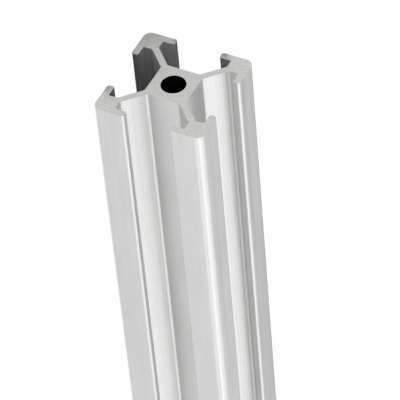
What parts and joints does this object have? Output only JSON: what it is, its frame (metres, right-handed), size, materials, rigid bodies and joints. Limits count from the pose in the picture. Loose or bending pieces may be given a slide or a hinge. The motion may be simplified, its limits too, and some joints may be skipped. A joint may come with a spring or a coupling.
{
  "type": "aluminium extrusion profile",
  "caption": "Short bar of square T-slot aluminium extrusion, with an undercut slot along each face, diagonal webs and a round bore through its core.",
  "frame": {"origin": "centre of the lower sawn end, on which the bar stands", "axes": "+Z along the bar, up to the other sawn end; X and Y square to the four slotted faces"},
  "size_m": [0.02, 0.02, 0.2],
  "materials": {
    "satin_aluminium": "satin, as extruded and clear anodised, with saw-cut ends"
  },
  "bodies": {
    "root": {"extrusion_profile": "satin_aluminium"}
  },
  "joints": []
}
